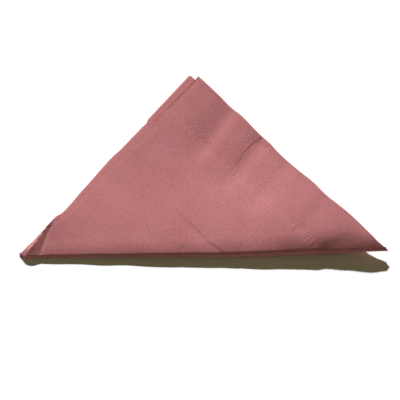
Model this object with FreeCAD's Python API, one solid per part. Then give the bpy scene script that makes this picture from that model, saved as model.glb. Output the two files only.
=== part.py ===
import FreeCAD, Part
import math
import os

from FreeCAD import Vector

# A paper napkin: a 330 mm square of two-ply tissue, folded in quarters at the factory and then once
# across the diagonal by hand. It lies flat as a triangle of eight leaves. X runs along the
# diagonal fold from the closed corner to the open corner, Y from that fold to the apex, Z is up.

# The sheet
leaf_thickness = 0.30
edge_stagger = 0.30

# Outline of the folded triangle, measured from the closed corner along the diagonal fold
fold_length = 233.7
front_leg_length = 164.0
front_leg_angle = 46.4
back_leg_length = 162.2
back_leg_angle = 48.2

# The diagonal fold at three places: distance along it, sideways bend, height off the table,
# air between neighbouring leaves, and the radius of the hollow inside the innermost leaf
closed_end = dict(along=0.0, bend=0.0, lift=0.0, air=0.07, hollow=0.22)
belly = dict(along=137.0, bend=0.0, lift=0.0, air=0.34, hollow=0.75)
open_end = dict(along=fold_length, bend=3.0, lift=3.6, air=0.36, hollow=0.90)

# The embossed band along the free edges
band_width = 35.5
rib_pitch = 1.47
rib_depth = 0.17
rib_fade = 4.0
first_rib = 1.5

# Slow waves of the free edges, strongest in the top leaf and gone in the bottom one
ruffle_height = 0.80
ruffle_length = 24.5
ruffle_crest = 45.1
ruffle_from = 4.0
ruffle_to = 128.0
ruffle_steps = 45

# The pinched closed corner: the leaves are pressed into one there, and the front half slopes down
pinch_length = 13.3
pinch_reach = 21.0
pinch_angle = 76.0
pinch_foot = 2.5
pressed_margin = 1.0

# Flats that stand for each rounded half turn of the paper
turn_flats = 10

# Eight leaves lie in four rings round the diagonal fold
leaves = 8
rings = leaves // 2
stations = (closed_end, belly, open_end)

# How far bodies reach past the place where they are trimmed: a little, well clear, and in height
past_end = 6.0
far_out = 60.0
above = 40.0

# Four corners that lie this close to one plane get one face
flatness = 1e-8


def between(name, along):
    """Value of one station size at a distance along the diagonal fold."""
    first, last = (stations[0], stations[1]) if along <= belly["along"] else (stations[1], stations[2])
    share = (along - first["along"]) / (last["along"] - first["along"])
    return first[name] + share * (last[name] - first[name])


def ring_radius(ring, along):
    """Inner radius of one leaf where it turns round the diagonal fold; ring 1 is outermost."""
    return between("hollow", along) + (rings - ring) * (leaf_thickness + between("air", along))


def roll_radius(along):
    return ring_radius(1, along) + leaf_thickness


def roll_height(along):
    return between("lift", along) + roll_radius(along)


def roll_line(along):
    """Distance from the fold's straight edge to where the leaves become flat."""
    return between("bend", along) + roll_radius(along)


def ring_of(leaf):
    return min(leaf, leaves + 1 - leaf)


def underside(leaf, along):
    """Height of a leaf's lower face; leaf 1 is on top and leaf 8 on the table."""
    inner = ring_radius(ring_of(leaf), along)
    if leaf <= rings:
        return roll_height(along) + inner
    return roll_height(along) - inner - leaf_thickness


def is_front(leaf):
    return leaf <= rings


class Half:
    """Plan of the front or the back half: its left leg, its free right leg and its apex."""

    def __init__(self, leg_length, leg_angle):
        turn = math.radians(leg_angle)
        self.left = Vector(math.cos(turn), math.sin(turn), 0)
        self.outward = Vector(-math.sin(turn), math.cos(turn), 0)
        self.apex = self.left * leg_length
        self.tip = Vector(fold_length, open_end["bend"], 0)
        self.right = (self.tip - self.apex).normalize()
        self.inward = Vector(self.right.y, -self.right.x, 0)
        self.right_length = (self.tip - self.apex).Length
        slope = roll_line(1.0) - roll_line(0.0)
        self.knee = self.left * (roll_line(0.0) / (self.left.y - slope * self.left.x))

    def place(self, along_edge, inside):
        """Point at a distance along the free edge from the apex and a distance inside it."""
        return self.apex + self.right * along_edge + self.inward * inside


front = Half(front_leg_length, front_leg_angle)
back = Half(back_leg_length, back_leg_angle)


def half_of(leaf):
    return front if is_front(leaf) else back


def at_height(point, height):
    return Vector(point.x, point.y, height)


def prism(points):
    """Tall prism over a plan polygon."""
    outline = Part.makePolygon([at_height(p, -above) for p in points + points[:1]])
    return Part.Face(outline).extrude(Vector(0, 0, 2 * above))


def flat_face(corners):
    return Part.Face(Part.makePolygon(corners + corners[:1]))


def flat_sides(a, b, c, d):
    """One face over four corners, or two where the corners don't lie in one plane."""
    normal = (b - a).cross(c - a).normalize()
    if abs(normal.dot(d - a)) < flatness:
        return [flat_face([a, b, c, d])]
    return [flat_face([a, b, c]), flat_face([a, c, d])]


def skin(sections):
    """Solid through sections that have the same number of corners, with every side flat."""
    faces = [flat_face(sections[0]), flat_face(sections[-1])]
    for first, second in zip(sections, sections[1:]):
        for i in range(len(first)):
            faces += flat_sides(first[i - 1], first[i], second[i], second[i - 1])
    shell = Part.makeShell(faces)
    shell.sewShape()
    solid = Part.makeSolid(shell)
    if solid.Volume < 0:
        solid.reverse()
    return solid


def half_turn(middle, radius, out):
    """Points round a half circle that bulges outwards, from its top to its underside."""
    turns = [math.pi * step / turn_flats for step in range(turn_flats + 1)]
    return [middle + Vector(0, 0, radius * math.cos(a)) + out * (radius * math.sin(a)) for a in turns]


def half_ring(middle, inner, out):
    """Section of one leaf where it turns back over itself."""
    return half_turn(middle, inner + leaf_thickness, out) + half_turn(middle, inner, out)[::-1]


def half_stack(middle, radius, out):
    """Section of pressed leaves: rounded outside and cut square well inside."""
    outline = half_turn(middle, radius, out)
    return outline + [outline[-1] - out * above, outline[0] - out * above]


def roll_middle(along):
    return Vector(along, roll_line(along), roll_height(along))


def roll_section(ring, along):
    """Half ring of one leaf round the diagonal fold."""
    return half_ring(roll_middle(along), ring_radius(ring, along), Vector(0, -1, 0))


def make_roll(ring):
    """One leaf's turn round the diagonal fold, cut off along the free edge."""
    places = (pinch_length / 2, belly["along"], fold_length + past_end)
    roll = skin([roll_section(ring, x) for x in places])
    far_end = front.right_length + far_out
    beyond = prism([
        front.place(-past_end, 0),
        front.place(far_end, 0),
        front.place(far_end, -far_out),
        front.place(-past_end, -far_out),
    ])
    return roll.cut(beyond)


def flat_section(leaf, along, reach):
    low = underside(leaf, along)
    start = roll_line(along)
    corners = [
        Vector(along, start, low),
        Vector(along, reach, low),
        Vector(along, reach, low + leaf_thickness),
        Vector(along, start, low + leaf_thickness),
    ]
    return corners


def make_flat(leaf):
    """The plain part of a leaf, between the diagonal fold, the left leg and the embossed band."""
    half = half_of(leaf)
    reach = half.apex.y + past_end
    places = (closed_end["along"], belly["along"], fold_length + past_end)
    slab = skin([flat_section(leaf, x, reach) for x in places])
    inner_start = half.apex - half.left * (band_width / (half.inward * half.left * -1))
    inner_end = half.place(half.right_length + past_end, band_width)
    return slab.common(prism([half.knee, inner_end, inner_start]))


def ruffle(leaf, along_edge):
    """Rise of a leaf's free edge at a distance from the apex."""
    if along_edge <= ruffle_from or along_edge >= ruffle_to:
        return 0.0
    swell = math.sin(math.pi * (along_edge - ruffle_from) / (ruffle_to - ruffle_from))
    wave = math.cos(2 * math.pi * (along_edge - ruffle_crest) / ruffle_length)
    return ruffle_height * swell * wave * (leaves - leaf) / (leaves - 1)


def band_point(leaf, along_edge, inside, raise_by):
    point = half_of(leaf).place(along_edge, inside)
    wave = ruffle(leaf, along_edge) if inside < band_width / 2 else 0.0
    return at_height(point, underside(leaf, point.x) + raise_by + wave)


def belly_place(half):
    """Distance along the free edge of the line that meets the belly of the fold at the band's inside."""
    return (belly["along"] - half.place(0, band_width).x) / half.right.x


def smooth_run(leaf, inside, raise_by):
    """Corners of a leaf's upper or lower face along the free edge, close together on the waves."""
    half = half_of(leaf)
    step = (ruffle_to - ruffle_from) / ruffle_steps
    places = [ruffle_from + i * step for i in range(ruffle_steps + 1)]
    places += [-past_end, belly_place(half), half.right_length + past_end]
    return [band_point(leaf, place, inside, raise_by) for place in sorted(places)]


def rib_places(half):
    """Crests and valleys of the ribs along the free edge, one of them on the belly's line."""
    middle = belly_place(half)
    step = rib_pitch / 2
    before = int((middle - first_rib) / step) // 2 * 2
    after = int((half.right_length + past_end / 2 - middle) / step) // 2 * 2
    return [middle + i * step for i in range(-before, after + 1)]


def ribbed_run(leaf, inside, raise_by, depth):
    """Corners of a ribbed face along the free edge: crests at the face and valleys a depth inside."""
    points = [band_point(leaf, -past_end, inside, raise_by)]
    for index, place in enumerate(rib_places(half_of(leaf))):
        points.append(band_point(leaf, place, inside, raise_by - (index % 2) * depth))
    points.append(band_point(leaf, half_of(leaf).right_length + past_end, inside, raise_by))
    return points


def band_section(leaf, inside, depth):
    """Section of a leaf along the free edge; only the outermost faces show their ribs."""
    lower = smooth_run(leaf, inside, 0.0)
    upper = smooth_run(leaf, inside, leaf_thickness)
    if leaf == 1:
        upper = ribbed_run(leaf, inside, leaf_thickness, depth)
    elif leaf == leaves:
        lower = ribbed_run(leaf, inside, 0.0, -depth)
    return lower + upper[::-1]


def make_band(leaf):
    """The waved strip of a leaf along its free edge, ribbed where it is an outer face."""
    half = half_of(leaf)
    outside = edge_stagger * (ring_of(leaf) - 1)
    sections = [band_section(leaf, outside, rib_depth)]
    if leaf in (1, leaves):
        sections.append(band_section(leaf, band_width - rib_fade, rib_depth))
    sections.append(band_section(leaf, band_width, 0.0))
    strip = skin(sections)
    left_far = half.apex + half.left * past_end
    right_far = half.tip + Vector(far_out, 0, 0)
    roll_far = Vector(fold_length + past_end, roll_line(fold_length + past_end), 0)
    belly_far = Vector(belly["along"], roll_line(belly["along"]), 0)
    corner = left_far + half.right * (half.right_length + past_end)
    return strip.common(prism([half.knee, belly_far, roll_far, right_far, corner, left_far]))


def hem_section(half, top_leaf, bottom_leaf, share):
    """Half ring where two leaves are one folded sheet, square to the left leg."""
    foot = half.knee + (half.apex - half.knee) * share
    low = underside(bottom_leaf, foot.x)
    high = underside(top_leaf, foot.x) + leaf_thickness
    return half_ring(at_height(foot, (low + high) / 2), (high - low) / 2 - leaf_thickness, half.outward)


def make_hem(top_leaf, bottom_leaf):
    """Fold along the left leg that joins two leaves of one half."""
    half = half_of(top_leaf)
    return skin([hem_section(half, top_leaf, bottom_leaf, k) for k in (0.0, 1.0)])


def solid_leg_section(half, share):
    """Whole section through the pressed corner of one half, square to the left leg."""
    foot = half.knee + (half.apex - half.knee) * share
    radius = roll_radius(foot.x) / 2
    rise = radius if half is front else -radius
    return half_stack(at_height(foot, roll_height(foot.x) + rise), radius, half.outward)


def pinch_line(forward):
    """Two plan points of the line across the closed corner, moved forward along the fold."""
    slope = math.radians(pinch_angle)
    run = Vector(math.cos(slope), math.sin(slope), 0)
    start = Vector(pinch_length + forward, 0, 0)
    return start - run * past_end, start + run * pinch_reach


def corner_region():
    """Prism over the closed corner, up to where the leaves part."""
    low, high = pinch_line(pressed_margin)
    far = Vector(-far_out, 0, 0)
    return prism([low, high, high + far, low + far])


def make_corner():
    """The closed corner, where the folds meet and the leaves are pressed into one."""
    outward = Vector(0, -1, 0)
    sections = [half_stack(roll_middle(x), roll_radius(x), outward) for x in (-past_end, belly["along"])]
    along_roll = skin(sections)
    spans = (-past_end / front_leg_length, 1.0)
    lower = skin([solid_leg_section(back, k) for k in spans])
    upper = skin([solid_leg_section(front, k) for k in spans])
    pressed = along_roll.common(lower.fuse(upper)).common(corner_region())
    return pressed.cut(make_pinch())


def make_pinch():
    """What the pinch takes off the front half: all above a slope that runs down to the corner."""
    first, second = pinch_line(0.0)
    for point in (first, second):
        point.z = roll_height(point.x) + roll_radius(point.x)
    foot = Vector(pinch_foot, 0, roll_height(pinch_foot))
    normal = (second - first).cross(foot - first).normalize()
    if normal.z < 0:
        normal = normal * -1
    slab = Part.makeBox(2 * far_out, 2 * far_out, above, Vector(-far_out, -far_out, 0))
    slab.Placement = FreeCAD.Placement(foot, FreeCAD.Rotation(Vector(0, 0, 1), normal))
    low = Vector(-far_out, -far_out, roll_height(-far_out))
    high = Vector(belly["along"], -far_out, roll_height(belly["along"]))
    rise = Vector(0, 0, above)
    wedge = flat_face([low, high, high + rise, low + rise])
    return slab.common(wedge.extrude(Vector(0, 2 * far_out, 0)))


def make_napkin():
    folds = [make_roll(ring) for ring in range(1, rings + 1)]
    folds += [make_flat(leaf) for leaf in range(1, leaves + 1)]
    folds += [make_hem(1, 2), make_hem(3, 4), make_hem(6, 7), make_hem(5, 8)]
    whole = folds[0].multiFuse(folds[1:]).cut(corner_region())
    bands = [make_band(leaf) for leaf in range(1, leaves + 1)]
    return whole.multiFuse([make_corner()] + bands).Solids[0]


def centre(shape):
    """Moves the origin to the middle of the underside."""
    box = shape.optimalBoundingBox(False, False)
    shape.translate(Vector(-box.Center.x, -box.Center.y, -box.ZMin))
    return shape


os.makedirs("parts", exist_ok=True)
napkin = centre(make_napkin())
print("solids", len(napkin.Solids), "valid", napkin.isValid(), "volume", round(napkin.Volume, 1))
napkin.exportStep("parts/napkin.step")
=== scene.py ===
import math

import bmesh
import bpy
import numpy as np
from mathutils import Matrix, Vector


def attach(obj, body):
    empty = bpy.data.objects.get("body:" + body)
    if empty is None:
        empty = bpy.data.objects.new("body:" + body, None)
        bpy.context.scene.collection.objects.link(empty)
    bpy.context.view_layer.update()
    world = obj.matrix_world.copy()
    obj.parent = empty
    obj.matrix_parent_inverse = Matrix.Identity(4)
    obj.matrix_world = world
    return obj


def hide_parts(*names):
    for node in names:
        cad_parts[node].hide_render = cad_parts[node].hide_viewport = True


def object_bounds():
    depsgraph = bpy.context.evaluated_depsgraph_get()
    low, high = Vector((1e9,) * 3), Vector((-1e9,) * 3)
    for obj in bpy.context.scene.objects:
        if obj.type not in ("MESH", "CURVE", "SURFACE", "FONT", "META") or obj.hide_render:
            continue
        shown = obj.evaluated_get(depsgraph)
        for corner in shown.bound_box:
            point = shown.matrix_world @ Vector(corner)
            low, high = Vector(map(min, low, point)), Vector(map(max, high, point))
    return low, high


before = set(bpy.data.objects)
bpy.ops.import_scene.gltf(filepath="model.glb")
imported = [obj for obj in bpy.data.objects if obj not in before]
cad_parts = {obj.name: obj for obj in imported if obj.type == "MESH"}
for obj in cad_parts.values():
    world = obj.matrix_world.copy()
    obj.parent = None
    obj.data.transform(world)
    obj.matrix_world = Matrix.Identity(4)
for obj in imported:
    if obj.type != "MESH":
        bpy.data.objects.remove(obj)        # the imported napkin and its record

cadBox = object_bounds()
print("stage 1: frame loaded")

# The sheet, as it was made: millimetres, ribs counted along one side of the folded square. The free
# edges lie in steps of edgeStagger, which run out at the roll, the faster the higher staggerFade is.
sheet = dict(side=330.0, leaf=0.26, ribs=112, bandRibs=24, edgeStagger=0.30, staggerFade=20)

# The fold, measured from the closed corner along the diagonal fold: millimetres and degrees
# Lists hold a value at the closed corner, at the belly and at the open corner. Where the legs meet the
# roll is found in meetingRounds rounds from a guess kneeGuess up the left leg.
fold = dict(
    length=233.7, bellyAt=137.0, bellySoftness=7.0, bellyReach=0.30,
    frontLeg=164.0, frontAngle=46.4, backLeg=162.2, backAngle=48.2,
    bend=(0.0, 0.0, 3.0), lift=(0.0, 0.0, 3.6), air=(0.11, 0.38, 0.40), hollow=(0.22, 0.75, 0.45),
    tipReach=0.68, pinchedTo=24.0, pinchedShare=0.2, kneeGuess=2.0, meetingRounds=8,
)

# How far the folded sheet's edges wander from straight legs. Each pair: distance along the leg, offset
# outwards. The free edge is measured from the apex and the folded one from the closed corner.
wander = dict(
    free=((0, 0.1), (17, 0.0), (28, -0.2), (38, 0.2), (54, -0.6), (62, -0.5), (76, -1.7), (90, -2.0),
          (102, -1.7), (114, -2.3), (138, -1.5), (158, -2.0), (165, -1.4)),
    folded=((0, 0.6), (9, 0.6), (15, -0.1), (24, -0.3), (35, -0.3), (40, -1.7), (47, -1.6), (60, -0.9),
            (88, -0.2), (98, -0.9), (118, -1.1), (121, -1.5), (124, -0.4), (165, -0.4)),
    foldedDepth=30.0, blunt=(0.9, 2.0), bluntAlong=3.5, bluntInside=1.6,
)

# How high the stack of leaves stands: it is springy beside the diagonal fold and flat far from it.
# Each row: distance along the fold, height of the crest, fall from there to the fold, width of that
# fall, height of the underside, height far from the fold. Waves and creases start where the stack is
# stillBelow high, and the leaves' paper takes up no more than paperShare of its height.
stack = dict(
    rows=((0, 3.4, 0.6, 6, 0, 3.4), (25, 4.1, 1.3, 8, 0, 3.8), (60, 5.8, 2.0, 10, 0, 4.2),
          (100, 6.9, 2.0, 10, 0, 4.2), (140, 7.9, 2.4, 11, 0.1, 4.4), (160, 9.2, 3.1, 12, 0.5, 5.4),
          (177, 10.3, 4.5, 13, 1.2, 7.2), (190, 11.6, 5.0, 15, 1.8, 8.8), (205, 12.7, 5.4, 18, 2.4, 10.2),
          (221, 12.4, 4.1, 11, 3.8, 11.4), (229, 10.6, 2.6, 8, 4.6, 10.6), (235, 6.9, 0.8, 3, 5.0, 6.9)),
    farFrom=64.0, tipFrom=196.0, tipRise=0.6, thinnest=1.8, apexFrom=66.0, apexRise=0.045, apexSoft=15.0,
    legPuff=3.0, legPuffFrom=4.0, legPuffTop=30.0, legPuffTo=64.0, legPuffWidth=12.0,
    hemLip=0.25, hemLipWidth=1.8, stillBelow=1.5, paperShare=0.8,
)

# Slow waves of the free edges, and how far they reach in from the edge. Each pair: distance along the
# edge from the apex, height of the crest or trough there. Troughs are narrower than crests.
ruffles = dict(
    waves=((0, 0.0), (8, 0.3), (30.5, -1.6), (43, -0.1), (58.5, -1.5), (70.5, -0.3), (79, -0.5), (99, 1.2),
           (116, 0.2), (122, 0.3), (134, 0.0)),
    troughSharpness=1.6, full=28.0, gone=50.0, slant=0.14,
)

# Creases: where they run over the front face, their depth, the width of the steep side and how far
# the other side takes to rise again. One that fades in has creaseStart of its depth at its start.
creaseStart = 0.25
creases = (
    dict(run=((94.0, 34.7), (101.6, 26.8), (106.0, 21.6), (111.8, 16.3), (116.2, 11.7), (120.0, 7.7),
              (125.1, 4.5), (128.3, 1.9)), depth=0.30, width=1.3, back=7.0, fadeIn=0.4),
    dict(run=((132.7, 56.2), (135.3, 57.5), (139.7, 62.8), (142.2, 67.4), (145.4, 71.3), (148.6, 73.9),
              (152.4, 77.2)), depth=0.28, width=0.7, back=5.0, fadeIn=0.4),
    dict(run=((151.0, 75.0), (157.5, 71.6)), depth=0.40, width=0.8, back=2.5),
    dict(run=((187.0, 2.2), (199.0, 6.2), (209.6, 10.8), (215.0, 14.7)), depth=0.42, width=5.5, back=7.0,
         fadeIn=0.15, fadeOut=0.5),
    dict(run=((101.5, 1.5), (103.0, 5.5)), depth=0.20, width=1.0, back=2.0),
    dict(run=((131.0, 1.8), (129.0, 6.5)), depth=0.22, width=1.0, back=2.0),
    dict(run=((138.5, 2.0), (140.5, 7.0)), depth=0.18, width=1.0, back=2.0),
)

# The soft unevenness of the plain face
swells = dict(seed=7, count=9, height=0.03, shortest=16.0, longest=46.0)

# The pinched closed corner, measured along the left leg and in from it. Its ridge runs out ridgeEnd
# from the leg, and the plain face never starts nearer to the ridge than faceGap.
pinch = dict(
    reach=31.0, ridgeIn=2.5, faceIn=14.5, faceSlope=0.42, valleyShare=0.95, facetBow=1.15,
    rise=14.0, valleyHeight=2.8, facetSlope=0.60, stripHeight=1.2, stripSlope=0.3, stepWidth=0.8,
    tipShare=0.2, tipSoft=4.0, nub=(1.8, 0.3), ridgeEnd=0.2, faceGap=1.0,
)

# How finely each ring of leaves is made, from the outermost inwards: lattice steps in ribs, columns for
# each rib, rows across the band and round each roll. The back ones are for the lower half.
detail = dict(
    plainStep=(0.55, 2, 2, 2), backPlainStep=(1, 2, 2, 2), ribParts=(4, 2, 2, 2),
    bandRows=(28, 3, 3, 4), backBandRows=(5, 3, 3, 4), rollParts=(14, 10, 8, 8), hemParts=8,
)

# Along the left leg all leaves are pressed thinner, and the partners, joined by a hem there, also lie
# closer together. Leaves 5 and 8 have no partner, because their hem goes round leaves 6 and 7.
hems = dict(partners={1: 2, 2: 1, 3: 4, 4: 3, 6: 7, 7: 6}, press=0.8, thin=0.6, pressTo=5.0)

# The ribs are pressed deeper towards the open corner: softShare of the full height up to rib softTo, all
# of it from rib deepFrom. Only edges sharper than sharpAngle degrees are shaded as sharp.
ribs = dict(
    height=0.40, fade=4.0, ragged=5.0, softShare=0.6, softTo=62.0, deepFrom=88.0, seed=11, sharpAngle=62.0,
)

rings = 4
leaves = 8
mm = 0.001
quarter = sheet["side"] / 2
bandStart = 1 - sheet["bandRibs"] / sheet["ribs"]


def easeBetween(rows, column, x):
    # value of a table's column at x, eased between its rows
    places = np.array([row[0] for row in rows], float)
    values = np.array([row[column] for row in rows], float)
    index = np.clip(np.searchsorted(places, x) - 1, 0, len(places) - 2)
    share = np.clip((x - places[index]) / (places[index + 1] - places[index]), 0, 1)
    return values[index] + (values[index + 1] - values[index]) * share * share * (3 - 2 * share)


def easeStep(x, first, last):
    share = np.clip((x - first) / (last - first), 0, 1)
    return share * share * (3 - 2 * share)


def alongFold(name, x):
    # value at a distance along the diagonal fold, with a soft bend at the belly
    first, middle, last = fold[name]
    soft = fold["bellySoftness"]
    slopeIn = (middle - first) / fold["bellyAt"]
    slopeOut = (last - middle) / (fold["length"] - fold["bellyAt"])
    rise = soft * np.logaddexp(0, (x - fold["bellyAt"]) / soft)
    return first + slopeIn * x + (slopeOut - slopeIn) * rise


def pinchShare(x):
    # the fold is pressed together towards the closed corner
    return fold["pinchedShare"] + (1 - fold["pinchedShare"]) * easeStep(x, 0, fold["pinchedTo"])


def ringRadius(ring, x):
    # to the middle of the leaf's thickness, where it turns round the diagonal fold
    pitch = sheet["leaf"] + alongFold("air", x)
    return (alongFold("hollow", x) + (rings - ring) * pitch + sheet["leaf"] / 2) * pinchShare(x)


def rollRadius(x):
    return ringRadius(1, x) + sheet["leaf"] / 2 * pinchShare(x)


def rollHeight(x):
    return alongFold("lift", x) + rollRadius(x)


def rollLine(x):
    return alongFold("bend", x) + rollRadius(x)


def ringOf(leaf):
    return min(leaf, leaves + 1 - leaf)


def leafHeight(leaf, x):
    # middle of a leaf's thickness; leaf 1 is on top, leaf 8 on the table
    side = 1 if leaf <= rings else -1
    return rollHeight(x) + side * ringRadius(ringOf(leaf), x)


def pressedHeight(leaf, x, press):
    # two leaves that are joined by a hem lie closer together beside it
    own = leafHeight(leaf, x)
    other = leafHeight(hems["partners"].get(leaf, leaf), x)
    return own + (other - own) / 2 * hems["press"] * press


def makeHalf(legLength, legAngle):
    # plan of one half: its left leg, its apex and where its free edge meets the roll
    turn = math.radians(legAngle)
    left = np.array([math.cos(turn), math.sin(turn)])
    tip = np.array([fold["length"], fold["bend"][2]])
    apex = left * legLength
    right = (tip - apex) / np.linalg.norm(tip - apex)
    knee, toe = left * fold["kneeGuess"], tip.copy()
    for _ in range(fold["meetingRounds"]):
        knee = left * (rollLine(knee[0]) / left[1])
        toe = tip + right * ((rollLine(toe[0]) - tip[1]) / right[1])
    outward = np.array([-left[1], left[0]])
    return dict(left=left, right=right, apex=apex, knee=knee, toe=toe, outward=outward)


front = makeHalf(fold["frontLeg"], fold["frontAngle"])
back = makeHalf(fold["backLeg"], fold["backAngle"])


def halfOf(leaf):
    return front if leaf <= rings else back


def bluntShare(a, b):
    # the closed corner ends bluntly
    along = 1 - easeStep(a * quarter, 0, wander["bluntAlong"])
    return along * (1 - easeStep(b * quarter, 0, wander["bluntInside"]))


def planPoint(leaf, a, b):
    # a runs up the left leg, b along the free edge, both from 0 to 1, with b no more than a
    half = halfOf(leaf)
    a, b = np.asarray(a, float), np.asarray(b, float)
    point = half["knee"] + a[..., None] * (half["apex"] - half["knee"])
    point = point + b[..., None] * (half["toe"] - half["apex"])
    slope = (half["toe"][1] - half["knee"][1]) / (half["toe"][0] - half["knee"][0])
    straight = half["knee"][1] + (point[..., 0] - half["knee"][0]) * slope
    near = np.clip(1 - (a - b) / fold["bellyReach"], 0, 1)
    point[..., 1] += (rollLine(point[..., 0]) - straight) * near * near * (3 - 2 * near)
    outer = np.clip((a - bandStart) / (1 - bandStart), 0, 1)
    free = np.clip((a - b) * sheet["staggerFade"], 0, 1)
    shift = easeBetween(wander["free"], 1, b * quarter) - sheet["edgeStagger"] * (ringOf(leaf) - 1) * free
    point = point + (shift * outer)[..., None] * half["left"]
    shift = easeBetween(wander["folded"], 1, a * quarter)
    shift = shift * (1 - easeStep(b * quarter, 0, wander["foldedDepth"]))
    point = point + shift[..., None] * half["outward"]
    return point + bluntShare(a, b)[..., None] * np.array(wander["blunt"])


class SheetBuilder:
    # collects the middle surface of the sheet, leaf by leaf, with what the ribs need to know
    def __init__(self):
        self.points, self.faces, self.share, self.press = [], [], [], []
        self.rise, self.rib, self.depth = [], [], []

    def add(self, points, share, rise, rib, depth, press):
        first = len(self.points)
        count = len(points)
        self.points += list(points)
        self.share += list(np.broadcast_to(share, count))
        self.rise += list(np.broadcast_to(rise, (count, 3)))
        self.rib += list(np.broadcast_to(rib, count))
        self.depth += list(np.broadcast_to(depth, count))
        self.press += list(np.broadcast_to(press, count))
        return list(range(first, first + count))

    def zipUp(self, first, firstAt, second, secondAt):
        # joins two rows of points that may be spaced differently
        i = j = 0
        while i < len(first) - 1 or j < len(second) - 1:
            nextFirst = firstAt[i + 1] if i + 1 < len(first) else math.inf
            nextSecond = secondAt[j + 1] if j + 1 < len(second) else math.inf
            if abs(nextFirst - nextSecond) < 1e-6:
                self.faces.append((first[i], first[i + 1], second[j + 1], second[j]))
                i, j = i + 1, j + 1
            elif nextFirst < nextSecond:
                self.faces.append((first[i], first[i + 1], second[j]))
                i += 1
            else:
                self.faces.append((first[i], second[j + 1], second[j]))
                j += 1


def leafShare(leaf):
    # how much of a wave or crease a leaf follows: all of it on top, none on the table
    return (leaves - leaf) / (leaves - 1)


def addPoints(build, leaf, a, b):
    a, b = np.atleast_1d(a).astype(float), np.atleast_1d(b).astype(float)
    plan = planPoint(leaf, a, b)
    press = 1 - easeStep(b * quarter, 0, hems["pressTo"])
    points = np.column_stack([plan, pressedHeight(leaf, plan[:, 0], press)])
    up = (0.0, 0.0, 1.0 if leaf <= rings else -1.0)
    return build.add(points, leafShare(leaf), up, b * sheet["ribs"], (1 - a) * quarter, press)


def addLeaf(build, leaf):
    # one leaf: a plain right-angled lattice, then the band with rows that end at the roll
    ring = ringOf(leaf) - 1
    step = (detail["plainStep"] if leaf <= rings else detail["backPlainStep"])[ring]
    parts = detail["ribParts"][ring]
    rows = (detail["bandRows"] if leaf <= rings else detail["backBandRows"])[ring]
    plainCount = round((sheet["ribs"] - sheet["bandRibs"]) / step)
    unit = step / sheet["ribs"]
    grid = []
    for i in range(plainCount + 1):
        b = np.arange(i + 1) * unit
        grid.append(addPoints(build, leaf, np.full(i + 1, i * unit), b))
    for i in range(plainCount):
        for j in range(i):
            build.faces.append((grid[i][j], grid[i + 1][j], grid[i + 1][j + 1], grid[i][j + 1]))
        build.faces.append((grid[i][i], grid[i + 1][i], grid[i + 1][i + 1]))

    columns = sheet["ribs"] * parts
    b = np.arange(columns) / columns
    start = np.maximum(bandStart, b)
    bandRow = []
    for r in range(1, rows + 1):
        bandRow.append(addPoints(build, leaf, start + (1 - start) * r / rows, b))
    seam = int(round(bandStart * columns))
    diagonal = addPoints(build, leaf, b[seam + 1:], b[seam + 1:])
    corner = addPoints(build, leaf, 1.0, 1.0)[0]
    seamRow = [grid[plainCount][plainCount]] + diagonal
    seamAt = np.concatenate([[bandStart], b[seam + 1:]])
    build.zipUp(grid[plainCount], np.arange(plainCount + 1) * unit, bandRow[0][:seam + 1], b[:seam + 1])
    build.zipUp(seamRow, seamAt, bandRow[0][seam:], b[seam:])
    for lower, upper in zip(bandRow, bandRow[1:]):
        build.zipUp(lower, b, upper, b)
    ends = [diagonal[-1]] + [row[-1] for row in bandRow]
    for lower, upper in zip(ends, ends[1:]):
        build.faces.append((lower, upper, corner))

    leg = [row[0] for row in grid] + [row[0] for row in bandRow]
    legAt = [i * unit for i in range(plainCount + 1)]
    legAt += [bandStart + (1 - bandStart) * r / rows for r in range(1, rows + 1)]
    roll = [row[-1] for row in grid] + diagonal + [corner]
    rollAt = [i * unit for i in range(plainCount + 1)] + list(b[seam + 1:]) + [1.0]
    return dict(leg=leg, legAt=legAt, roll=roll, rollAt=rollAt)


def joinChains(build, first, firstAt, second, secondAt, rowPoints, parts):
    # bends the sheet round from one leaf's edge to another's, in a number of rows
    at = firstAt if len(firstAt) <= len(secondAt) else secondAt
    rows = [rowPoints(np.array(at), math.pi * part / parts) for part in range(1, parts)]
    build.zipUp(first, firstAt, rows[0], at)
    for one, other in zip(rows, rows[1:]):
        build.zipUp(one, at, other, at)
    build.zipUp(rows[-1], at, second, secondAt)
    return [first[0]] + [row[0] for row in rows] + [second[0]]


def addRoll(build, edges, ring):
    top, bottom = ring, leaves + 1 - ring

    def rowPoints(at, turn):
        share = turn / math.pi
        upper, lower = planPoint(top, at, at), planPoint(bottom, at, at)
        x = upper[:, 0] * (1 - share) + lower[:, 0] * share
        radius = ringRadius(ring, x)
        x = x + fold["tipReach"] * radius * min(turn, math.pi - turn) * easeStep(at, 0, fold["bellyReach"])
        y = rollLine(x) + bluntShare(at, at) * wander["blunt"][1] - radius * math.sin(turn)
        points = np.column_stack([x, y, rollHeight(x) + radius * math.cos(turn)])
        follow = leafShare(top) * (1 - share) + leafShare(bottom) * share
        out = (0.0, -math.sin(turn), math.cos(turn))
        return build.add(points, follow, out, at * sheet["ribs"], (1 - at) * quarter, 0.0)

    return joinChains(build, edges[top]["roll"], edges[top]["rollAt"], edges[bottom]["roll"],
                      edges[bottom]["rollAt"], rowPoints, detail["rollParts"][ring - 1])


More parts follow.
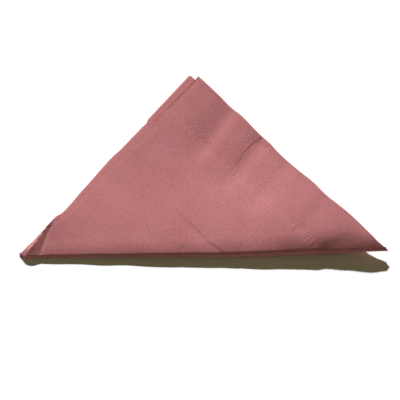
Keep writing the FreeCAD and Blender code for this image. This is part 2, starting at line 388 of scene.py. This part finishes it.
def addHem(build, edges, top, bottom):
    half = halfOf(top)

    def rowPoints(at, turn):
        share = turn / math.pi
        foot = planPoint(top, at, at * 0)
        high, low = [pressedHeight(leaf, foot[:, 0], 1.0) for leaf in (top, bottom)]
        radius = (high - low) / 2
        plan = foot + (radius * math.sin(turn))[:, None] * half["outward"]
        points = np.column_stack([plan, (high + low) / 2 + radius * math.cos(turn)])
        follow = leafShare(top) * (1 - share) + leafShare(bottom) * share
        up = (0.0, 0.0, 1.0 if top <= rings else -1.0)
        return build.add(points, follow, up, 0.0, (1 - at) * quarter, 1.0)

    return joinChains(build, edges[top]["leg"], edges[top]["legAt"], edges[bottom]["leg"],
                      edges[bottom]["legAt"], rowPoints, detail["hemParts"])


def closeCentre(build, chains):
    # the middle of the sheet, where all its folds meet at the closed corner
    point = np.array([[*pinch["nub"], rollHeight(pinch["nub"][0])]])
    centre = build.add(point, 0.5, (0.0, 0.0, 1.0), 0.0, quarter, 0.0)[0]
    for chain in chains:
        for one, other in zip(chain, chain[1:]):
            build.faces.append((one, other, centre))


def waveHeight(x, y):
    # slow waves of the free edge, measured along it from the front apex
    offset = np.column_stack([x, y]) - front["apex"]
    inside = -(offset @ front["left"])
    along = offset @ front["right"] - ruffles["slant"] * inside
    places, heights = np.array(ruffles["waves"]).T
    index = np.clip(np.searchsorted(places, along) - 1, 0, len(places) - 2)
    before, after = heights[index], heights[index + 1]
    share = np.clip((along - places[index]) / (places[index + 1] - places[index]), 0, 1)
    fromCrest = np.where(after < before, share, 1 - share)
    sunk = easeStep(fromCrest ** ruffles["troughSharpness"], 0, 1)
    height = np.maximum(before, after) - np.abs(after - before) * sunk
    return height * (1 - easeStep(inside, ruffles["full"], ruffles["gone"]))


def runDistance(x, y, run):
    # distance to a crease's run with its sign, and how far along it that is, from 0 to 1
    near = np.full(x.shape, np.inf)
    place = np.zeros(x.shape)
    run = np.array(run)
    lengths = np.linalg.norm(np.diff(run, axis=0), axis=1)
    total = lengths.sum()
    done = 0.0
    for start, end, length in zip(run, run[1:], lengths):
        along = (end - start) / length
        t = np.clip((x - start[0]) * along[0] + (y - start[1]) * along[1], 0, length)
        gap = np.hypot(x - start[0] - t * along[0], y - start[1] - t * along[1])
        side = np.sign(along[0] * (y - start[1]) - along[1] * (x - start[0]))
        closer = gap < np.abs(near)
        near = np.where(closer, gap * np.where(side == 0, 1, side), near)
        place = np.where(closer, (done + t) / total, place)
        done += length
    return near, place


def creaseHeight(x, y):
    height = np.zeros(x.shape)
    for crease in creases:
        gap, place = runDistance(x, y, crease["run"])
        strength = np.clip(place / crease["fadeIn"], creaseStart, 1) if "fadeIn" in crease else 1.0
        if "fadeOut" in crease:
            strength = strength * easeStep(1 - place, 0, crease["fadeOut"])
        gap = gap * math.copysign(1, crease["depth"])
        steep = 1 - easeStep(gap, 0, crease["width"])
        profile = np.where(gap > 0, steep, np.exp(np.minimum(gap, 0) / crease["back"]))
        height -= abs(crease["depth"]) * strength * profile
    return height


def swellHeight(x, y):
    random = np.random.default_rng(swells["seed"])
    height = np.zeros(x.shape)
    for _ in range(swells["count"]):
        turn, phase = random.uniform(0, 2 * math.pi, 2)
        length = random.uniform(swells["shortest"], swells["longest"])
        height += np.sin(2 * math.pi * (x * math.cos(turn) + y * math.sin(turn)) / length + phase)
    return height * swells["height"]


def baseHeight(x, y):
    # underside of the lowest leaf; the open corner stands off the table
    rise = stack["tipRise"] * np.maximum(y - rollLine(x), 0) * easeStep(x, stack["tipFrom"], fold["length"])
    return easeBetween(stack["rows"], 4, x) + rise


def topHeight(x, y):
    # upper side of the top leaf
    inside = np.maximum(y - alongFold("bend", x), 0)
    crest, fall, width, far = [easeBetween(stack["rows"], column, x) for column in (1, 2, 3, 5)]
    top = crest - fall * (1 - np.clip(inside / width, 0, 1)) ** 2
    top = top - (crest - far) * easeStep(inside, width, stack["farFrom"])
    beyond = np.maximum(y - stack["apexFrom"], 0)
    top = top + stack["apexRise"] * beyond ** 2 / (beyond + stack["apexSoft"])
    turn = math.radians(fold["backAngle"])
    legInside = x * math.sin(turn) - y * math.cos(turn)
    legAlong = x * math.cos(turn) + y * math.sin(turn)
    puff = easeStep(legAlong, stack["legPuffFrom"], stack["legPuffTop"])
    puff = puff * (1 - easeStep(legAlong, stack["legPuffTop"], stack["legPuffTo"]))
    full = top + stack["legPuff"] * puff * np.exp(-np.maximum(legInside, 0) / stack["legPuffWidth"])
    fromHem = np.maximum(-(np.column_stack([x, y]) @ front["outward"]), 0)
    full = full + stack["hemLip"] * np.exp(-fromHem / stack["hemLipWidth"])

    # the pinched closed corner: a flat strip, a lifted fold, the facet beside it, then the plain face
    along = np.clip(legAlong / pinch["reach"], 0, 1)
    ridge = pinch["ridgeIn"] * (1 - along ** 2) + pinch["ridgeEnd"]
    face = pinch["faceIn"] - pinch["faceSlope"] * along * pinch["reach"]
    face = np.maximum(face, ridge + pinch["faceGap"])
    valley = ridge + (face - ridge) * pinch["valleyShare"]
    low = pinch["valleyHeight"] * (1 - along) + full * along
    high = low + pinch["facetSlope"] * (valley - ridge) * easeStep(legAlong, 0, pinch["rise"])
    high = np.where(along < 1, high, full)
    strip = pinch["stripHeight"] + (full - pinch["stripHeight"]) * along ** 2
    strip = strip + pinch["stripSlope"] * (ridge - legInside) * (1 - along)
    step = easeStep(legInside, ridge - pinch["stepWidth"], ridge)
    result = np.where(legInside < ridge, strip + (high - strip) * step, full)
    between = (legInside >= ridge) & (legInside < valley)
    share = 1 - (1 - np.clip((legInside - ridge) / (valley - ridge), 0, 1)) ** pinch["facetBow"]
    result = np.where(between, high + (low - high) * share, result)
    between = (legInside >= valley) & (legInside < face)
    result = np.where(between, low + (full - low) * (legInside - valley) / (face - valley), result)
    return result * (pinch["tipShare"] + (1 - pinch["tipShare"]) * easeStep(legAlong, 0, pinch["tipSoft"]))


def buildMiddle():
    build = SheetBuilder()
    edges = {leaf: addLeaf(build, leaf) for leaf in range(1, leaves + 1)}
    print("stage 2: leaves laid,", len(build.points), "points")
    chains = [addRoll(build, edges, ring) for ring in range(1, rings + 1)]
    chains += [addHem(build, edges, 1, 2), addHem(build, edges, 3, 4)]
    chains += [addHem(build, edges, 6, 7), addHem(build, edges, 5, 8)]
    closeCentre(build, chains)
    points = np.array(build.points)
    x, y = points[:, 0].copy(), points[:, 1].copy()
    top = topHeight(x, y)
    low = np.maximum(np.minimum(baseHeight(x, y), top - stack["thinnest"]), 0)
    space = top - low
    lift = waveHeight(x, y) + creaseHeight(x, y) + swellHeight(x, y)
    level = (points[:, 2] - alongFold("lift", x)) / (2 * rollRadius(x))
    calm = np.clip((space - stack["stillBelow"]) / stack["stillBelow"], 0, 1)
    points[:, 2] = low + level * space + np.array(build.share) * lift * calm
    thickness = np.minimum(sheet["leaf"], stack["paperShare"] * space / leaves) * pinchShare(x)
    return build, points, thickness * (1 - hems["thin"] * np.array(build.press))


def meshNormals(points, faces):
    # turns all faces one way and gives each point's normal
    mesh = bpy.data.meshes.new("middle")
    mesh.from_pydata(points.tolist(), [], faces)
    shape = bmesh.new()
    shape.from_mesh(mesh)
    bmesh.ops.recalc_face_normals(shape, faces=shape.faces)
    shape.faces.ensure_lookup_table()
    shape.normal_update()
    turned = [tuple(v.index for v in face.verts) for face in shape.faces]
    normals = np.array([v.normal[:] for v in shape.verts])
    rim = [(e.verts[0].index, e.verts[1].index) for e in shape.edges if e.is_boundary]
    shape.free()
    bpy.data.meshes.remove(mesh)
    return turned, normals, rim


def thicken(build, points, thickness):
    # gives the middle surface its thickness, closed along the free edges
    faces, normals, rim = meshNormals(points, build.faces)
    half = thickness[:, None] / 2
    outer, inner = points + normals * half, points - normals * half
    count = len(points)
    both = np.vstack([outer, inner])
    both[:, 2] = np.maximum(both[:, 2], 0.0)
    allFaces = faces + [tuple(v + count for v in reversed(face)) for face in faces]
    allFaces += [(a, b, b + count, a + count) for a, b in rim]
    return both, allFaces


def storeAttribute(mesh, name, kind, values):
    layer = mesh.attributes.new(name, kind, "POINT")
    key = "vector" if kind == "FLOAT_VECTOR" else "value"
    layer.data.foreach_set(key, np.asarray(values, np.float32).ravel())


def faceOutwards(mesh):
    shape = bmesh.new()
    shape.from_mesh(mesh)
    bmesh.ops.recalc_face_normals(shape, faces=shape.faces)
    shape.to_mesh(mesh)
    shape.free()


def foldOrigin():
    # where the tables' millimetres are counted from, in the frame's metres
    low, high = cadBox
    return np.array([high[0] - fold["length"] * mm, low[1], low[2]])


def makeNapkin():
    build, points, thickness = buildMiddle()
    both, faces = thicken(build, points, thickness)
    mesh = bpy.data.meshes.new("foldedNapkin")
    mesh.from_pydata((both * mm + foldOrigin()).tolist(), [], faces)
    faceOutwards(mesh)
    storeAttribute(mesh, "ribPlace", "FLOAT", np.tile(build.rib, 2))
    storeAttribute(mesh, "bandDepth", "FLOAT", np.tile(build.depth, 2) * mm)
    storeAttribute(mesh, "ribRise", "FLOAT_VECTOR", np.vstack([build.rise, build.rise]))
    napkin = bpy.data.objects.new("foldedNapkin", mesh)
    bpy.context.scene.collection.objects.link(napkin)
    print("stage 3: sheet thickened,", len(mesh.polygons), "faces")
    return napkin


def link(tree, source, target):
    tree.links.new(source, target)


def mathNode(tree, operation, *values):
    node = tree.nodes.new("ShaderNodeMath")
    node.operation = operation
    for socket, value in zip(node.inputs, values):
        if isinstance(value, (int, float)):
            socket.default_value = value
        else:
            link(tree, value, socket)
    return node.outputs[0]


def namedValue(tree, name, kind):
    node = tree.nodes.new("GeometryNodeInputNamedAttribute")
    node.data_type = kind
    node.inputs["Name"].default_value = name
    return node.outputs["Attribute"]


def makeRibTree():
    # presses the ribs into the band: crests flush with the leaf, valleys behind it, ends uneven
    tree = bpy.data.node_groups.new("edgeRibs", "GeometryNodeTree")
    numbers = ("Rib Height", "Band Width", "Fade", "Ragged", "Soft Share", "Soft To", "Deep From")
    sockets = [("Geometry", "NodeSocketGeometry")]
    sockets += [(name, "NodeSocketFloat") for name in numbers]
    sockets += [("Seed", "NodeSocketInt"), ("Paper", "NodeSocketMaterial")]
    for name, kind in sockets:
        tree.interface.new_socket(name=name, in_out="INPUT", socket_type=kind)
    tree.interface.new_socket(name="Geometry", in_out="OUTPUT", socket_type="NodeSocketGeometry")
    given = tree.nodes.new("NodeGroupInput").outputs
    ribPlace = namedValue(tree, "ribPlace", "FLOAT")
    depth = namedValue(tree, "bandDepth", "FLOAT")
    wave = mathNode(tree, "COSINE", mathNode(tree, "MULTIPLY", ribPlace, 2 * math.pi))
    valley = mathNode(tree, "MULTIPLY", mathNode(tree, "SUBTRACT", 1.0, wave), 0.5)

    chance = tree.nodes.new("FunctionNodeRandomValue")
    chance.data_type = "FLOAT"
    link(tree, mathNode(tree, "FLOOR", mathNode(tree, "ADD", ribPlace, 0.5)), chance.inputs["ID"])
    link(tree, given["Seed"], chance.inputs["Seed"])
    uneven = mathNode(tree, "MULTIPLY", chance.outputs[1], given["Ragged"])
    ribEnd = mathNode(tree, "SUBTRACT", given["Band Width"], uneven)
    left = mathNode(tree, "DIVIDE", mathNode(tree, "SUBTRACT", ribEnd, depth), given["Fade"])
    strength = tree.nodes.new("ShaderNodeClamp")
    link(tree, left, strength.inputs["Value"])

    deeper = tree.nodes.new("ShaderNodeMapRange")
    deeper.interpolation_type = "SMOOTHSTEP"
    link(tree, ribPlace, deeper.inputs["Value"])
    link(tree, given["Soft To"], deeper.inputs["From Min"])
    link(tree, given["Deep From"], deeper.inputs["From Max"])
    link(tree, given["Soft Share"], deeper.inputs["To Min"])

    amount = mathNode(tree, "MULTIPLY", valley, strength.outputs[0])
    amount = mathNode(tree, "MULTIPLY", amount, deeper.outputs[0])
    amount = mathNode(tree, "MULTIPLY", amount, mathNode(tree, "MULTIPLY", given["Rib Height"], -1.0))
    offset = tree.nodes.new("ShaderNodeVectorMath")
    offset.operation = "SCALE"
    link(tree, namedValue(tree, "ribRise", "FLOAT_VECTOR"), offset.inputs[0])
    link(tree, amount, offset.inputs["Scale"])

    move = tree.nodes.new("GeometryNodeSetPosition")
    link(tree, given["Geometry"], move.inputs["Geometry"])
    link(tree, offset.outputs[0], move.inputs["Offset"])
    real = tree.nodes.new("GeometryNodeRealizeInstances")
    link(tree, move.outputs[0], real.inputs[0])
    paint = tree.nodes.new("GeometryNodeSetMaterial")
    link(tree, real.outputs[0], paint.inputs["Geometry"])
    link(tree, given["Paper"], paint.inputs["Material"])
    done = tree.nodes.new("NodeGroupOutput")
    link(tree, paint.outputs[0], done.inputs[0])
    return tree


def pressRibs(napkin, paper):
    modifier = napkin.modifiers.new("ribs", "NODES")
    modifier.node_group = makeRibTree()
    values = {
        "Rib Height": ribs["height"] * mm, "Band Width": quarter * (1 - bandStart) * mm,
        "Fade": ribs["fade"] * mm, "Ragged": ribs["ragged"] * mm, "Soft Share": ribs["softShare"],
        "Soft To": ribs["softTo"], "Deep From": ribs["deepFrom"], "Seed": ribs["seed"], "Paper": paper,
    }
    for item in modifier.node_group.interface.items_tree:
        if item.in_out == "INPUT" and item.name in values:
            modifier[item.identifier] = values[item.name]
    bpy.context.view_layer.update()
    evaluated = napkin.evaluated_get(bpy.context.evaluated_depsgraph_get())
    plain = bpy.data.meshes.new_from_object(evaluated)
    napkin.modifiers.remove(modifier)
    napkin.data = plain
    plain.polygons.foreach_set("use_smooth", [True] * len(plain.polygons))
    plain.set_sharp_from_angle(angle=math.radians(ribs["sharpAngle"]))
    for name in ("ribRise", "bandDepth", "ribPlace"):
        plain.attributes.remove(plain.attributes[name])
    print("stage 4: ribs pressed")


# The tissue's colour and surface
paperLook = dict(
    pink=(0.452, 0.169, 0.171), deepPink=(0.438, 0.159, 0.158), palePink=(0.466, 0.178, 0.183),
    cloudScale=38.0, fibreScale=1150.0, fibreStretch=2.2, fibreShare=0.52, roughness=0.92, sheen=0.02,
    grainDepth=0.00008, bumpStrength=0.5, specular=0.05, sheenRoughness=0.6, cloudDetail=5.0,
    cloudStops=(0.32, 0.5, 0.68), fibreDetail=4.0, grainDetail=2.0, fibreWeight=0.6, grainWeight=0.4,
    feltRange=(0.35, 0.65), shadeRange=(0.75, 1.25),
)


def shaderNode(tree, kind, **settings):
    node = tree.nodes.new(kind)
    for key, value in settings.items():
        setattr(node, key, value)
    return node


def noiseValue(tree, place, scale, detail):
    node = tree.nodes.new("ShaderNodeTexNoise")
    node.inputs["Scale"].default_value = scale
    node.inputs["Detail"].default_value = detail
    link(tree, place, node.inputs["Vector"])
    return node.outputs["Fac"]


def makePaper():
    material = bpy.data.materials.new("pinkTissue")
    material.use_nodes = True
    tree = material.node_tree
    surface = tree.nodes["Principled BSDF"]
    surface.inputs["Roughness"].default_value = paperLook["roughness"]
    surface.inputs["Specular IOR Level"].default_value = paperLook["specular"]
    surface.inputs["Sheen Weight"].default_value = paperLook["sheen"]
    surface.inputs["Sheen Roughness"].default_value = paperLook["sheenRoughness"]
    place = tree.nodes.new("ShaderNodeTexCoord").outputs["Object"]

    clouds = noiseValue(tree, place, paperLook["cloudScale"], paperLook["cloudDetail"])
    stops = paperLook["cloudStops"]
    ramp = tree.nodes.new("ShaderNodeValToRGB")
    ramp.color_ramp.elements[0].position = stops[0]
    ramp.color_ramp.elements[0].color = (*paperLook["deepPink"], 1)
    ramp.color_ramp.elements[1].position = stops[2]
    ramp.color_ramp.elements[1].color = (*paperLook["palePink"], 1)
    middle = ramp.color_ramp.elements.new(stops[1])
    middle.color = (*paperLook["pink"], 1)
    link(tree, clouds, ramp.inputs["Fac"])

    stretch = shaderNode(tree, "ShaderNodeMapping", vector_type="TEXTURE")
    stretch.inputs["Rotation"].default_value = (0, 0, math.radians(fold["frontAngle"]))
    stretch.inputs["Scale"].default_value = (1.0, 1 / paperLook["fibreStretch"], 1.0)
    link(tree, place, stretch.inputs["Vector"])
    fibreScale = paperLook["fibreScale"] / paperLook["fibreStretch"]
    fibres = noiseValue(tree, stretch.outputs[0], fibreScale, paperLook["fibreDetail"])
    grain = noiseValue(tree, place, paperLook["fibreScale"], paperLook["grainDetail"])
    felt = mathNode(tree, "ADD", mathNode(tree, "MULTIPLY", fibres, paperLook["fibreWeight"]),
                    mathNode(tree, "MULTIPLY", grain, paperLook["grainWeight"]))

    tint = shaderNode(tree, "ShaderNodeMix", data_type="RGBA", blend_type="MULTIPLY")
    tint.inputs["Factor"].default_value = paperLook["fibreShare"]
    link(tree, ramp.outputs["Color"], tint.inputs[6])
    shade = tree.nodes.new("ShaderNodeMapRange")
    shade.inputs["From Min"].default_value, shade.inputs["From Max"].default_value = paperLook["feltRange"]
    shade.inputs["To Min"].default_value, shade.inputs["To Max"].default_value = paperLook["shadeRange"]
    link(tree, felt, shade.inputs["Value"])
    grey = tree.nodes.new("ShaderNodeCombineColor")
    for channel in range(3):
        link(tree, shade.outputs[0], grey.inputs[channel])
    link(tree, grey.outputs[0], tint.inputs[7])
    link(tree, tint.outputs[2], surface.inputs["Base Color"])

    bump = tree.nodes.new("ShaderNodeBump")
    bump.inputs["Strength"].default_value = paperLook["bumpStrength"]
    bump.inputs["Distance"].default_value = paperLook["grainDepth"]
    link(tree, felt, bump.inputs["Height"])
    link(tree, bump.outputs[0], surface.inputs["Normal"])
    return material


# Table, light and camera
room = dict(
    tableSize=3.0, sunDirection=(0.08, -0.83, -0.56), sunSoftness=2.0, ambient=(0.10, 0.088, 0.045),
    cameraElevation=75.0, cameraDistance=1.1, pixel=0.635, target=(114.3, 37.8, 0.0), frameWidth=400,
    sensorWidth=36.0, clipStart=0.05, tableDrop=0.00005,
)


def makeTable():
    size = room["tableSize"]
    mesh = bpy.data.meshes.new("table")
    corners = [(-size, -size, 0), (size, -size, 0), (size, size, 0), (-size, size, 0)]
    mesh.from_pydata([(x, y, z - room["tableDrop"]) for x, y, z in corners], [], [(0, 1, 2, 3)])
    table = bpy.data.objects.new("table", mesh)
    bpy.context.scene.collection.objects.link(table)
    material = bpy.data.materials.new("whiteTable")
    material.use_nodes = True
    surface = material.node_tree.nodes["Principled BSDF"]
    surface.inputs["Base Color"].default_value = (1.0, 1.0, 1.0, 1)
    surface.inputs["Roughness"].default_value = 1.0
    surface.inputs["Specular IOR Level"].default_value = 0.0
    mesh.materials.append(material)


def makeLight():
    # the ground is white to the camera and a dim tint to the napkin, and one soft sun throws the shadow
    world = bpy.data.worlds.new("studio")
    world.use_nodes = True
    tree = world.node_tree
    tree.nodes.clear()
    ray = tree.nodes.new("ShaderNodeLightPath")
    seen = mathNode(tree, "MAXIMUM", ray.outputs["Is Camera Ray"], ray.outputs["Is Glossy Ray"])
    seen = mathNode(tree, "MAXIMUM", seen, ray.outputs["Is Transmission Ray"])
    soft = tree.nodes.new("ShaderNodeBackground")
    soft.inputs["Color"].default_value = (*room["ambient"], 1)
    white = tree.nodes.new("ShaderNodeBackground")
    white.inputs["Color"].default_value = (1, 1, 1, 1)
    mix = tree.nodes.new("ShaderNodeMixShader")
    link(tree, seen, mix.inputs["Fac"])
    link(tree, soft.outputs[0], mix.inputs[1])
    link(tree, white.outputs[0], mix.inputs[2])
    out = tree.nodes.new("ShaderNodeOutputWorld")
    link(tree, mix.outputs[0], out.inputs["Surface"])
    bpy.context.scene.world = world

    direction = np.array(room["sunDirection"])
    direction = direction / np.linalg.norm(direction)
    share = 1 - np.array(room["ambient"])
    lamp = bpy.data.lights.new("sun", "SUN")
    lamp.energy = math.pi / -direction[2] * share.max()
    lamp.color = tuple(share / share.max())
    lamp.angle = math.radians(room["sunSoftness"])
    sun = bpy.data.objects.new("sun", lamp)
    sun.rotation_mode = "QUATERNION"
    sun.rotation_quaternion = Vector(direction).to_track_quat("-Z", "Y")
    bpy.context.scene.collection.objects.link(sun)


def makeCamera():
    target = foldOrigin() + np.array(room["target"]) * mm
    rise = math.radians(room["cameraElevation"])
    away = np.array([0, -math.cos(rise), math.sin(rise)]) * room["cameraDistance"]
    data = bpy.data.cameras.new("photoCamera")
    data.sensor_width = room["sensorWidth"]
    data.lens = room["sensorWidth"] * room["cameraDistance"] / (room["frameWidth"] * room["pixel"] * mm)
    data.clip_start = room["clipStart"]
    camera = bpy.data.objects.new("photoCamera", data)
    camera.location = target + away
    camera.rotation_euler = (math.pi / 2 - rise, 0, 0)
    bpy.context.scene.collection.objects.link(camera)
    bpy.context.scene.camera = camera


paper = makePaper()
napkin = makeNapkin()
pressRibs(napkin, paper)
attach(napkin, "root")
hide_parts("napkin")
makeTable()
makeLight()
makeCamera()
bpy.context.scene.view_settings.view_transform = "Standard"
print("stage 5: table, light and camera placed")
